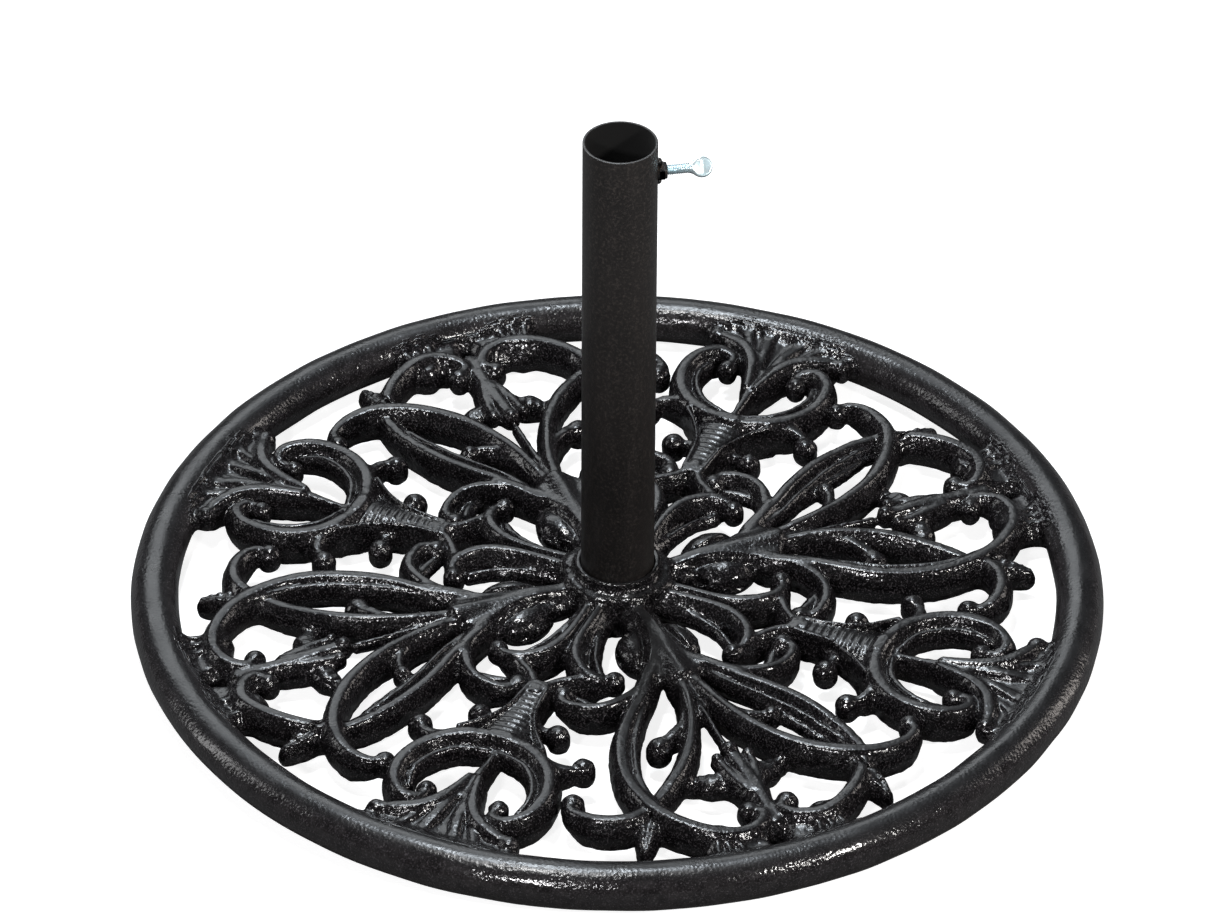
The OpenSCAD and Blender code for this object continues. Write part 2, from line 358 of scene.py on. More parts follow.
def rim_distance(x, y, z):
    return np.sqrt((np.hypot(x, y) - RIM_R) ** 2 + (z - RIM_MID) ** 2) - RIM_W / 2


def hub_distance(x, y, z):
    """Hub under the tube: a drum that flares out of a rounded collar."""
    r = np.hypot(x, y)
    drum = smooth_max(smooth_max(r - HUB_R + 0.6, z - HUB_TOP + 1.0, 3.0), HUB_FLOOR - z, 2.0)
    collar = smooth_max(r - COLLAR_R, z - COLLAR_TOP, 1.6)
    return smooth_min(drum, smooth_max(collar, HUB_FLOOR - z, 1.0), 4.5)


def weld_to(field, body, soft):
    """Casts a fillet between the solid and a body that is meshed apart, and trims it inside the body."""
    x, y, z = field.everywhere()
    own, other = field.d.copy(), body(x, y, z)
    blended = smooth_min(own, other, soft)
    field.d = np.maximum(np.maximum(blended, own - 0.97 * soft), -(other + 1.0)).astype(np.float32)


def roughen(field, amount=0.22):
    """Uneven sand-cast walls; the tops stay smoother because they were dressed."""
    x, y, z = field.everywhere()
    wall = np.clip((SCROLL_TOP - 1.5 - z) / 4, 0.15, 1)
    field.d += (amount * wall * smooth_noise(x, y, z, 6.0, seed=4, waves=9)).astype(np.float32)
    field.d += (0.5 * amount * wall * smooth_noise(x, y, z, 3.0, seed=9, waves=9)).astype(np.float32)


# ---- leaf motif, x across and y outward from the centre ----

def calyx_top(x, y):
    """Top of the hood, with soft flutes that spread from the hub towards the strands."""
    angle = np.arctan2(x, y - 30)
    spread = np.clip((y - 60) / 35, 0, 1)
    flutes = 1.3 * spread * np.cos(angle * 21)
    return 29.2 - 0.016 * x ** 2 + flutes - 3.0 * np.clip((50 - y) / 20, 0, 1)


def leaf_calyx(f):
    """Two rough eggs that swell out from under a narrow hood, which opens into the fan."""
    blob(f, (0, 40, 15.5), (12, 14, 10), soft=3)
    for side in (-1, 1):
        blob(f, (side * 9.5, 62, 15.5), (15, 19, 11.5), soft=2.5, tilt=-12 * side)
    hood = [(-4, 30), (-5, 46), (-5.5, 58), (-8, 70), (-13, 82), (-15, 94), (0, 103),
            (15, 94), (14, 82), (9, 70), (6, 58), (5, 46), (4, 30)]
    plate(f, hood, calyx_top, bottom=17, swell=0.8, soft=1.0)
    edge = [(7, 44, 1, 25.5), (8.5, 57, 1, 26.5), (12, 70, 1, 25.5), (18, 80, 1, 22)]
    under = [(12, 44, 1, 17), (21, 58, 1, 16), (24, 72, 1, 15)]
    for side in (-1, 1):
        crease(f, on_side(side, edge), 1.5, 2.8)
        crease(f, on_side(side, under), 1.6, 3)


def leaf_left_loop(f):
    outer = [(-4, 92, 8, 26), (-7, 112, 6, 27.5), (-11, 130, 6, 28.5), (-18, 149, 7, 28.5),
             (-28, 167, 8, 28.5), (-41, 182, 9, 28.5), (-58, 194, 9, 28.5), (-76, 200, 9, 28),
             (-93, 198, 8, 26.5), (-104, 190, 7, 25.5), (-105, 181, 6, 24.5)]
    inner = [(-15, 88, 9, 26), (-30, 109, 8, 27.5), (-44, 126, 8, 27.5), (-56, 144, 8, 27),
             (-64, 162, 8, 26), (-69, 178, 8, 25), (-71, 192, 7, 24.5)]
    stroke(f, outer, ball=5.5, ball_top=24)
    stroke(f, inner, swell=1.4)
    stroke(f, beside(inner, -8.5, 4, 2.0), bottom=11, swell=1.2, soft=1.5)
    stroke(f, beside(inner[1:], -13, 2.5, 6.0), bottom=11, swell=1.2, soft=1.5)
    stroke(f, [(-7, 112, 6, 27), (-14, 132, 5, 26), (-25, 143, 5, 25), (-36, 145, 5, 24)],
           ball=4.5, ball_top=24)


def leaf_right_loop(f):
    inner = [(2, 96, 8, 26), (4, 118, 6, 27.5), (10, 138, 6, 28), (18, 156, 7, 27.5),
             (29, 172, 8, 26.5), (44, 187, 8, 25), (57, 197, 7, 24)]
    outer = [(15, 88, 9, 26), (26, 106, 8, 27.5), (39, 121, 8, 28.5), (51, 138, 9, 28.5),
             (59, 156, 9, 28.5), (63, 176, 9, 28.5), (61, 195, 9, 28.5), (56, 210, 9, 28.5),
             (47, 223, 9, 28.5), (34, 234, 9, 27.5), (20, 238, 8, 26.5), (8, 234, 8, 25.5),
             (3, 225, 7, 24.5), (8, 218, 6, 23.5)]
    stroke(f, inner)
    stroke(f, outer, ball=5.5, ball_top=23)
    stroke(f, beside(outer[1:8], 7.6, 4.0, 1.8), bottom=9, swell=1.2, soft=1.2)
    stroke(f, [(5, 115, 6, 26), (13, 134, 6, 25.5), (23, 143, 8, 24.5), (33, 147, 10, 22.5)],
           ball=6.5, ball_top=22, swell=1.6)


def leaf_fleur(f):
    """Spear between the loops, and the three-fingered fleur that points back along it."""
    stroke(f, [(0, 98, 5, 25), (-1, 130, 4, 23.5), (-1, 160, 4, 22.5)], bottom=13, swell=0.6)
    stroke(f, [(-3, 232, 9, 23), (-3, 206, 9, 24), (-2, 186, 9, 25), (-1, 168, 9, 25.5)],
           ball=4.2, ball_top=26)
    stroke(f, [(-5, 204, 7, 23.5), (-9, 186, 6, 24), (-10, 173, 5, 24)], ball=2.6, ball_top=23.5, soft=1.5)
    stroke(f, [(1, 204, 7, 23.5), (6, 186, 6, 24), (8, 172, 5, 24)], ball=2.6, ball_top=23.5, soft=1.5)
    finger = [(3, 190, 9, 21), (14, 183, 9, 20), (27, 179, 6, 18)]
    for side in (-1, 1):
        stroke(f, on_side(side, finger), swell=1.8, rib=0.5)
        blob(f, (side * 17, 186, 13), (9, 6, 7), soft=3, tilt=-20 * side)


def leaf_outer_scrolls(f):
    stroke(f, [(-70, 198, 8, 25), (-62, 213, 8, 27), (-51, 226, 9, 28), (-38, 235, 9, 28),
               (-26, 238, 9, 27.5), (-14, 233, 8, 26.5), (-9, 224, 7, 25), (-15, 218, 6, 24)],
           ball=5.5, ball_top=23.5)
    shoulder = [(58, 200, 7, 26), (72, 206, 8, 27.5), (85, 204, 8, 27.5), (96, 196, 8, 26.5),
                (101, 185, 7, 25), (97, 178, 6, 24)]
    stroke(f, shoulder, ball=6, ball_top=24)
    hook = [(13, 84, 8, 26), (26, 100, 7, 27), (40, 107, 7, 27), (53, 108, 7, 26.5), (64, 102, 7, 25.5),
            (70, 93, 7, 24.5), (67, 86, 6, 23.5)]
    web = [(45, 108, 5, 19), (54, 99, 4, 20), (60, 90, 3, 20)]
    for side, y_shift in ((1, 0), (-1, 1)):
        shifted = [(x, y + y_shift, width, top) for x, y, width, top in hook]
        stroke(f, on_side(side, shifted), ball=6, ball_top=23.5, swell=2.2)
        stroke(f, on_side(side, web), bottom=10, soft=2)


def leaf_lugs(f):
    """Small tongues on the outer strands, and the leaves that run into the rim."""
    tongues = ([(60, 205, 12, 24), (68, 217, 11, 22.5), (73, 226, 6, 20)],
               [(-64, 204, 11, 24), (-69, 217, 10, 22.5), (-71, 228, 5, 20)])
    for tongue in tongues:
        stroke(f, tongue, swell=1.5, rib=0.5)
        middle = [(p[0], p[1], 1, p[3] + 0.6) for p in tongue]
        crease(f, middle)
    for side, x in ((-1, -30), (1, 31)):
        stroke(f, [(x, 233, 16, 24), (x, 244, 21, 21.5), (x, 258, 24, 20)], swell=2.0, soft=4)
        stroke(f, [(x - side * 13, 236, 14, 22), (x - side * 16, 247, 18, 20.5),
                   (x - side * 18, 259, 22, 19)], soft=4)
        for fan in (-1, 0, 1):
            vein = [(x + fan * 3, 238, 3, 24), (x + fan * 7, 247, 4, 23), (x + fan * 9, 256, 4, 22)]
            stroke(f, vein, swell=0.5, soft=2)


def leaf_motif():
    f = Field((-118, 18, 1.5), (112, 262, 33), GRID)
    leaf_calyx(f)
    leaf_left_loop(f)
    leaf_right_loop(f)
    leaf_fleur(f)
    leaf_outer_scrolls(f)
    leaf_lugs(f)
    roughen(f)
    weld_to(f, rim_distance, 6.0)
    weld_to(f, hub_distance, 6.0)
    return f


# ---- ring motif ----

def ring_and_curls(f):
    stroke_pair(f, [(-4, 163, 9, 28.5), (13, 165, 9, 28.5), (26, 171, 9, 28.5), (37, 182, 9, 28.5),
                    (42.5, 195, 9, 28.5), (43.5, 208, 9, 28.5), (40, 220, 8, 28), (31, 228, 8, 27),
                    (22, 225, 7, 25.5), (22, 216, 6, 24)], ball=5, ball_top=24, swell=2.6)
    ledge = [(4, 172, 4, 24), (20, 178, 4.4, 25), (30, 189, 4.4, 25.4), (35, 203, 4.4, 25),
             (33, 216, 4, 23)]
    stroke_pair(f, ledge, bottom=9, swell=1.2, soft=1.4)


def web_top(x, y):
    return 26.5 + 0.45 * np.sin(y * 1.35) - 0.02 * x ** 2


def ring_web(f):
    plate(f, [(-27, 167), (-15, 153), (-8, 136), (-6, 110), (6, 110), (8, 136), (15, 153), (27, 167)],
          web_top, swell=2)
    edge = [(6, 112, 3, 27.5), (8, 134, 3, 28), (15, 150, 3, 28), (26, 164, 4, 28.5)]
    for side in (-1, 1):
        stroke(f, on_side(side, edge), swell=0.4, soft=1.5)
    stroke_pair(f, [(18, 167, 9, 28), (32, 172, 8, 26.5), (44, 170, 7, 24.5), (50, 163, 6, 22.5)],
                ball=6.2, ball_top=23.5, swell=1.6)
    stroke_pair(f, [(5, 134, 8, 22), (14, 140, 7, 21), (24, 139, 6, 20)],
                ball=6.2, ball_top=21.5, swell=1.4)


def ring_fleur(f):
    """Stem that swells into a crown at the rim: two arms with balls, veined lobes and a middle crease."""
    stroke(f, [(0, 158, 4, 22), (0, 180, 5, 23.5), (0, 198, 7, 25), (0, 214, 10, 25.5)], swell=1.2)
    plate(f, [(-7, 210), (-12, 226), (-22, 236), (-34, 242), (-34, 252), (-24, 262),
              (24, 262), (34, 252), (34, 242), (22, 236), (12, 226), (7, 210)], 22.5, swell=2)
    arm = [(3, 200, 5, 27), (8, 220, 8, 28), (16, 233, 9, 28), (28, 240, 9, 27.5), (40, 243, 7, 25.5)]
    stroke_pair(f, arm, ball=5, ball_top=25, swell=2.2)
    stroke_pair(f, [(2, 216, 5, 25.5), (6, 234, 8, 26.6), (10, 252, 9, 24)], swell=1.2, soft=2)
    stroke_pair(f, [(14, 236, 4, 24.5), (20, 246, 6, 25.2), (26, 254, 6, 23.5)], swell=1.0, soft=2)
    crease(f, [(0, 222, 1, 26), (1, 238, 1, 26.5), (0, 252, 1, 24.5)], 1.5, 3)


def tulip(f):
    """Two arms that leave the hub side by side and part under the web."""
    stroke_pair(f, [(3, 20, 8, 28), (3, 44, 7, 28), (3.5, 62, 7, 28.2), (8, 78, 7, 28.5), (17, 88, 7, 28),
                    (28, 91, 7, 27), (36, 87, 5, 25.5)], ball=5.2, ball_top=26)
    stroke_pair(f, [(6, 30, 3, 23), (11, 52, 3, 22), (17, 70, 3, 21), (26, 82, 3, 20)],
                bottom=10, swell=2, soft=3)
    crease(f, [(0, 34, 1, 28.5), (0, 60, 1, 28.5), (0, 76, 1, 27)], 1.3, 4)
    stroke_pair(f, [(0, 116, 7, 26.5), (7, 104, 6, 26.5), (15, 97, 6, 26.5), (23, 92, 6, 26)])
    blob(f, (0, 40, 15), (12, 22, 8), soft=4)


def ring_motif():
    f = Field((-68, 18, 1.5), (68, 262, 33), GRID)
    ring_and_curls(f)
    ring_web(f)
    ring_fleur(f)
    tulip(f)
    roughen(f)
    weld_to(f, rim_distance, 6.0)
    weld_to(f, hub_distance, 6.0)
    return f


# ---- meshes ----

def new_mesh(name, points, faces, smooth=True):
    """Object from points in metres and faces, linked to the scene."""
    mesh = bpy.data.meshes.new(name)
    mesh.from_pydata(np.asarray(points).tolist(), [], faces)
    mesh.validate()
    mesh.update()
    if smooth:
        mesh.shade_smooth()
    obj = bpy.data.objects.new(name, mesh)
    bpy.context.scene.collection.objects.link(obj)
    return obj


def sharpen(obj, degrees=35):
    """Keeps edges sharper than the angle crisp under smooth shading."""
    obj.data.shade_smooth()
    obj.data.set_sharp_from_angle(angle=math.radians(degrees))


def turned(name, profile, axis="Z", centre=(0, 0, 0), steps=96, closed=True):
    """Solid of revolution from (radius, height) in mm, about Z or X through centre in mm."""
    points, faces = [], []
    n = len(profile)
    for k in range(steps):
        a = 2 * math.pi * k / steps
        for r, h in profile:
            if axis == "Z":
                points.append((r * math.cos(a), r * math.sin(a), h))
            else:
                points.append((h, r * math.cos(a), r * math.sin(a)))
    for k in range(steps):
        for i in range(n if closed else n - 1):
            a, b = k * n + i, k * n + (i + 1) % n
            c, d = (k + 1) % steps * n + (i + 1) % n, (k + 1) % steps * n + i
            faces.append((a, b, c, d))
    obj = new_mesh(name, (np.array(points) + np.array(centre)) * MM, faces)
    tidy_mesh(obj)
    sharpen(obj)
    return obj


def tidy_mesh(obj, merge=0.01):
    """Merges doubled points, drops faces with no area and turns all faces outward."""
    bm = bmesh.new()
    bm.from_mesh(obj.data)
    bmesh.ops.remove_doubles(bm, verts=bm.verts, dist=merge * MM)
    bmesh.ops.dissolve_degenerate(bm, edges=bm.edges, dist=merge * MM)
    bmesh.ops.recalc_face_normals(bm, faces=bm.faces)
    bm.to_mesh(obj.data)
    bm.free()
    obj.data.update()


def rounded(profile, radius=0.4, steps=4):
    """Closed profile with each corner rounded, in mm."""
    out = []
    n = len(profile)
    for i in range(n):
        a, b, c = (np.array(profile[k % n], float) for k in (i - 1, i, i + 1))
        to_a, to_c = a - b, c - b
        cut = min(radius, 0.45 * np.hypot(*to_a), 0.45 * np.hypot(*to_c))
        p, q = b + to_a / np.hypot(*to_a) * cut, b + to_c / np.hypot(*to_c) * cut
        for t in np.linspace(0, 1, steps):
            out.append(tuple((1 - t) ** 2 * p + 2 * t * (1 - t) * b + t ** 2 * q))
    return out


def finish_piece(obj, node, body, material):
    obj.data.materials.clear()
    obj.data.materials.append(material)
    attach(obj, body)
    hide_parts(node)
    return obj


def make_scrollwork(material):
    """The leaf and ring motifs, four of each, standing in turn round the hub."""
    motifs = (("leaf", leaf_motif(), LEAF_ANGLE - 90), ("ring", ring_motif(), LEAF_ANGLE - 45))
    for kind, field, start in motifs:
        for k in range(4):
            obj = field.mesh(f"scroll_{kind}_{k + 1}", start + 90 * k)
            obj.data.transform(Matrix.Diagonal((PATTERN, PATTERN, 1, 1)))
            uneven(obj, 0.25)
            finish_piece(obj, "base_casting", "base", material)


def uneven(obj, amount):
    """Moves the points of a casting a little, the same way wherever two of its pieces meet."""
    mesh = obj.data
    n = len(mesh.vertices)
    co, normal = np.zeros(n * 3), np.zeros(n * 3)
    mesh.vertices.foreach_get("co", co)
    mesh.vertex_normals.foreach_get("vector", normal)
    co, normal = co.reshape(-1, 3), normal.reshape(-1, 3)
    x, y, z = (co / MM).T
    shift = amount * smooth_noise(x, y, z, 28.0, seed=21)
    keep = np.clip((co[:, 2] / MM - RIM_BOTTOM) / 2, 0, 1)
    co += normal * (shift * keep * MM)[:, None]
    mesh.vertices.foreach_set("co", co.ravel())
    mesh.update()


def make_rim(material):
    """Cast bar bent into a ring, a little uneven, with a dressed flat underneath."""
    steps, sides = 384, 56
    points, faces = [], []
    for k in range(steps):
        a = 2 * math.pi * k / steps
        for i in range(sides):
            b = 2 * math.pi * i / sides
            r = RIM_R + (RIM_W / 2) * math.cos(b)
            z = max(RIM_MID + (RIM_W / 2) * math.sin(b), RIM_BOTTOM)
            points.append((r * math.cos(a), r * math.sin(a), z))
            j, m = (i + 1) % sides, (k + 1) % steps
            faces.append((k * sides + i, m * sides + i, m * sides + j, k * sides + j))
    points = np.array(points)
    x, y, z = points.T
    radial = np.hypot(x, y)
    out = np.column_stack([x / radial * (radial - RIM_R), y / radial * (radial - RIM_R), z - RIM_MID])
    out /= np.linalg.norm(out, axis=1)[:, None] + 1e-9
    shift = 0.22 * smooth_noise(x, y, z, 28.0, seed=21) + 0.03 * smooth_noise(x, y, z, 7.0, seed=33)
    shift -= 0.30
    keep = np.clip((z - RIM_BOTTOM) / 2, 0, 1)
    points = points + out * (shift * keep)[:, None]
    obj = new_mesh("rim_bar", points * MM, faces)
    finish_piece(obj, "base_casting", "base", material)


def make_hub(material):
    """Drum and collar that hold the tube, open underneath for the bolt."""
    f = Field((-38, -38, 1), (38, 38, COLLAR_TOP + 2), 0.8)
    x, y, z = f.everywhere()
    r = np.hypot(x, y)
    body = hub_distance(x, y, z)
    body = body + 0.22 * smooth_noise(x, y, z, 7.0, seed=12) * np.clip((r - TUBE_R) / 3, 0, 1)
    lumps = 0.5 * np.maximum(0, np.sin(8 * np.arctan2(y, x) + 0.4)) * np.clip((r - 23) / 4, 0, 1)
    body = body - lumps * np.clip((COLLAR_TOP - 1 - z) / 4, 0, 1)
    body = smooth_max(body, -smooth_max(r - TUBE_R - 0.15, SEAT - z, 0.4), 0.6)
    body = smooth_max(body, -smooth_max(r - RECESS_R, z - RECESS_ROOF, 0.6), 0.6)
    body = np.maximum(body, -(r - 5.5))
    f.d = body.astype(np.float32)
    finish_piece(f.mesh("hub_collar"), "base_casting", "base", material)


def make_tube(material):
    """Steel tube with a saw-cut top edge and the screw's hole through its wall."""
    profile = rounded([(BORE_R, SEAT), (TUBE_R, SEAT), (TUBE_R, TUBE_TOP), (BORE_R, TUBE_TOP)], 0.35, 3)
    obj = turned("pole_tube_shell", profile, steps=128)
    drill = turned("drill", [(0.001, 0), (SCREW_R + 0.4, 0), (SCREW_R + 0.4, 30), (0.001, 30)], "X",
                   (0, 0, SCREW_Z), steps=32)
    hole = obj.modifiers.new("hole", "BOOLEAN")
    hole.object, hole.operation, hole.solver = drill, "DIFFERENCE", "EXACT"
    bpy.context.view_layer.update()
    cut = bpy.data.meshes.new_from_object(obj.evaluated_get(bpy.context.evaluated_depsgraph_get()))
    obj.modifiers.clear()
    obj.data = cut
    bpy.data.objects.remove(drill)
    sharpen(obj)
    finish_piece(obj, "pole_tube", "base", material)


def make_plug(material):
    """Turned plug welded into the tube's foot, threaded for the bolt."""
    low, high, r = PLUG_LOW[2], PLUG_HIGH[2], PLUG_HIGH[1]
    bore = 5.0
    profile = [(bore + 0.6, low), (r - 0.3, low), (r, low + 0.3), (r, high - 0.3), (r - 0.5, high),
               (bore + 0.9, high)]
    turns = int((high - low - 1.2) / 0.75)
    for k in range(turns * 2):
        profile.append((bore + (0.5 if k % 2 else 0.05), high - 0.6 - k * (high - low - 1.2) / (turns * 2)))
    obj = turned("tube_end_plug_turned", profile)
    finish_piece(obj, "tube_end_plug", "base", material)


def hexagon_radius(angle, flats):
    """Distance from the middle of a hexagon to its side in a direction."""
    sixth = math.pi / 3
    return flats / 2 / math.cos((angle + sixth / 2) % sixth - sixth / 2)


def hex_form(name, flats, bore, start, stop, place, chamfer=0.9, steps=120):
    """Hexagon with turned chamfers. place(radius, angle, along) gives the point in mm."""
    corner = flats / 2 / math.cos(math.pi / 6)
    rings = [(start, None, bore), (start, chamfer, 0), (start + 0.55, None, 0)]
    rings += [(start + (stop - start) * k / 4, None, 0) for k in (1, 2, 3)]
    rings += [(stop - 0.55, None, 0), (stop, chamfer, 0), (stop, None, bore + 0.5),
              (stop - 0.6, None, bore)]
    points, faces = [], []
    for along, trim, inner in rings:
        for k in range(steps):
            a = 2 * math.pi * k / steps
            r = hexagon_radius(a, flats)
            if inner:
                r = inner
            elif trim:
                r = min(r, corner - trim) - 0.15
            points.append(place(r, a, along))
    n = len(rings)
    for i in range(n):
        for k in range(steps):
            m, j = (k + 1) % steps, (i + 1) % n
            faces.append((i * steps + k, i * steps + m, j * steps + m, j * steps + k))
    obj = new_mesh(name, np.array(points) * MM, faces)
    tidy_mesh(obj)
    sharpen(obj, 28)
    return obj


def make_nut(material):
    """Hex nut seated on the side of the tube."""
    def place(r, a, along):
        y, z = r * math.cos(a), r * math.sin(a)
        seat = math.sqrt(TUBE_R ** 2 - y * y) - 0.3
        x = NUT_HIGH[0] + (along - 1) * (NUT_HIGH[0] - seat)
        return x, y, SCREW_Z + z
    obj = hex_form("clamp_nut_hex", NUT_AF, SCREW_R + 0.1, 0.0, 1.0, place)
    finish_piece(obj, "clamp_nut", "base", material)


def make_welds(material):
    """Two rippled weld tacks, above and below the nut."""
    reach = WELD_HIGH[1]
    low = (TUBE_R - 2, -reach - 1, WELD_LOW[2] - 1)
    high = (WELD_HIGH[0] + 1, reach + 1, WELD_HIGH[2] + 1)
    f = Field(low, high, 0.25)
    x, y, z = f.everywhere()
    rng = np.random.default_rng(5)
    for middle in (WELD_LOW[2] + reach, WELD_HIGH[2] - reach):
        for across in (-0.42, -0.22, 0, 0.22, 0.42):
            cx = WELD_HIGH[0] - reach + rng.uniform(-0.15, 0.1)
            cy = reach * across
            cz = middle + rng.uniform(-0.15, 0.15)
            size = reach * (0.86 - 0.75 * abs(across))
            ripple = np.sqrt((x - cx) ** 2 + (y - cy) ** 2 + (z - cz) ** 2) - size
            f.d = smooth_min(f.d, ripple, 0.25).astype(np.float32)
    f.d += (0.08 * smooth_noise(x, y, z, 1.5, seed=8)).astype(np.float32)
    f.d = np.maximum(f.d, TUBE_R - 0.1 - np.hypot(x, y)).astype(np.float32)
    finish_piece(f.mesh("nut_weld_beads"), "nut_welds", "base", material)


def thread_points(start, stop, radius, pitch, place, around=36, per_turn=10, depth=0.55):
    """Points and faces of a screw thread with tapered ends."""
    steps = int((stop - start) / pitch * per_turn)
    points, faces = [], []
    for i in range(steps + 1):
        along = start + (stop - start) * i / steps
        ends = min(1.0, (along - start) / 0.7 + 0.05, (stop - along) / 0.7 + 0.05)
        for k in range(around):
            a = 2 * math.pi * k / around
            wave = abs(((along / pitch - k / around) % 1.0) - 0.5) * 2
            cut = depth * min(1, max(0, 1.25 * wave - 0.12)) * ends
            chamfer = max(0, 0.45 - (along - start))
            points.append(place(radius - cut - chamfer, a, along))
            if i < steps:
                m = (k + 1) % around
                faces.append((i * around + k, i * around + m, (i + 1) * around + m, (i + 1) * around + k))
    last = steps * around
    faces.append(tuple(range(around))[::-1])
    faces.append(tuple(range(last, last + around)))
    return points, faces


def make_thumb_screw(material):
    """Threaded shank with its end pressed into a round thumb tab."""
    tab_mid = SCREW_HIGH[0] - TAB_R

    def place(r, a, along):
        return along, r * math.cos(a), SCREW_Z + r * math.sin(a)
    points, faces = thread_points(SCREW_LOW[0], tab_mid - TAB_R + 0.6, SCREW_R - 0.02, THREAD_PITCH, place)
    shank = new_mesh("thumb_screw_shank", np.array(points) * MM, faces)
    tidy_mesh(shank, 0.001)
    finish_piece(shank, "thumb_screw", "thumb_screw", material)

    f = Field((tab_mid - 9, -7.5, SCREW_Z - 7.5), (tab_mid + 7, 7.5, SCREW_Z + 7.5), 0.3)
    x, y, z = f.everywhere()
    roll = math.radians(TAB_ROLL)
    z = z - SCREW_Z
    flat = z * math.sin(roll) - y * math.cos(roll)
    wide = y * math.sin(roll) + z * math.cos(roll)
    r = np.hypot(x - tab_mid, wide)
    thick = 1.5 - 0.35 * np.clip(1 - (r / 4.6) ** 2, 0, 1)
    disc = smooth_max(r - TAB_R + 0.05, np.abs(flat) - thick, 1.2)
    along = np.clip((x - (tab_mid - TAB_R - 1.5)) / 5.5, 0, 1)
    neck = np.sqrt((wide / (1 + 0.35 * along)) ** 2 + (flat * (1 + 0.9 * along)) ** 2) - SCREW_R + 0.1
    neck = smooth_max(smooth_max(neck, x - tab_mid + 0.8, 1.0), tab_mid - TAB_R - 1.5 - x, 0.6)
    f.d = smooth_min(disc, neck, 1.6).astype(np.float32)
    finish_piece(f.mesh("thumb_screw_tab"), "thumb_screw", "thumb_screw", material)


def make_tip(material):
    """Nylon tip that presses on the pole, with its spigot in the screw."""
    low, high, r = TIP_LOW[0], TIP_HIGH[0], TIP_HIGH[1]
    spigot, shoulder = 1.2, low + 2 - 0.05
    profile = [(0.001, low), (r - 0.9, low), (r - 0.3, low + 0.25), (r, low + 0.8), (r, shoulder - 0.2),
               (r - 0.2, shoulder), (spigot, shoulder), (spigot, high - 0.3), (spigot - 0.3, high),
               (0.001, high)]
    obj = turned("screw_tip_nylon", profile, "X", (0, 0, SCREW_Z), steps=48, closed=False)
    finish_piece(obj, "screw_tip", "screw_tip", material)


def make_bolt(material):
    """Hex bolt from below: chamfered head and a threaded shank."""
    head_top = SPRING_LOW[2]
    head_flats = BOLT_HIGH[1] - BOLT_LOW[1]

    def below(r, a, along):
        return r * math.cos(a), r * math.sin(a), -along
    head = hex_form("fixing_bolt_head", head_flats, 0.01, -head_top, -BOLT_LOW[2], below)
    points, faces = thread_points(-BOLT_HIGH[2], 0.5 - head_top, BOLT_R - 0.02, BOLT_PITCH, below,
                                  depth=0.85)
    shank = new_mesh("fixing_bolt_shank", np.array(points) * MM, faces)
    tidy_mesh(shank, 0.001)
    for obj in (head, shank):
        finish_piece(obj, "fixing_bolt", "base", material)


def make_spring_washer(material):
    """Split ring whose ends stand a little apart."""
    low, high, r = SPRING_LOW[2], SPRING_HIGH[2], SPRING_HIGH[0]
    inner, steps, gap = 5.2, 72, math.radians(9)
    thick = high - low
    section = rounded([(inner, 0), (r, 0), (r, thick - 0.2), (inner, thick - 0.2)], 0.3, 3)
    n = len(section)
    points, faces = [], []
    for k in range(steps + 1):
        t = k / steps
        a = gap / 2 + t * (2 * math.pi - gap)
        lift = low + 0.2 * t
        points += [(rr * math.cos(a), rr * math.sin(a), lift + h) for rr, h in section]
        if k < steps:
            faces += [(k * n + i, k * n + (i + 1) % n, (k + 1) * n + (i + 1) % n, (k + 1) * n + i)
                      for i in range(n)]
    faces += [tuple(range(n))[::-1], tuple(range(steps * n, steps * n + n))]
    obj = new_mesh("spring_washer_split", np.array(points) * MM, faces)
    tidy_mesh(obj)
    sharpen(obj)
    finish_piece(obj, "spring_washer", "base", material)


def make_flat_washer(material):
    """Stamped washer: one edge rolled over, the other with a faint burr."""
    low, high, r = WASHER_LOW[2], WASHER_HIGH[2], WASHER_HIGH[0]
    inner = 5.5
    profile = [(inner + 0.4, low), (r - 0.7, low), (r - 0.2, low + 0.25), (r, low + 0.8), (r, high - 0.1),
               (r - 0.1, high), (inner, high), (inner, low + 0.5)]
    obj = turned("flat_washer_stamped", profile, steps=96)
    finish_piece(obj, "flat_washer", "base", material)


def make_feet(material):
    """Rubber push-in feet: a ribbed pad under the rim and a barbed plug inside it."""
    pad_r, pad_top, plug_top = FOOT_R, RIM_BOTTOM, FEET_HIGH[2]
    plug_r = pad_r - 1.5
    profile = [(0.001, 0.25), (2.2, 0.25), (2.5, 0.0), (3.3, 0.0), (3.5, 0.25), (3.9, 0.25), (4.1, 0.0),
               (pad_r - 0.4, 0.0), (pad_r, 0.4), (pad_r, pad_top - 0.3), (pad_r - 0.25, pad_top),
               (plug_r - 0.3, pad_top), (plug_r - 0.3, pad_top + 2), (plug_r, pad_top + 2.6),
               (plug_r - 0.4, pad_top + 3.4), (plug_r - 0.4, pad_top + 4.6), (plug_r, pad_top + 5.2),
               (plug_r - 0.7, plug_top - 0.6), (plug_r - 1.4, plug_top), (0.001, plug_top)]
    for k in range(4):
        a = math.radians(LEAF_ANGLE + 45 + 90 * k)
        centre = (FOOT_RING_R * math.cos(a), FOOT_RING_R * math.sin(a), 0)
        obj = turned(f"rubber_foot_{k + 1}", profile, centre=centre, steps=48, closed=False)
        finish_piece(obj, "rubber_feet", "base", material)


# ---- materials ----

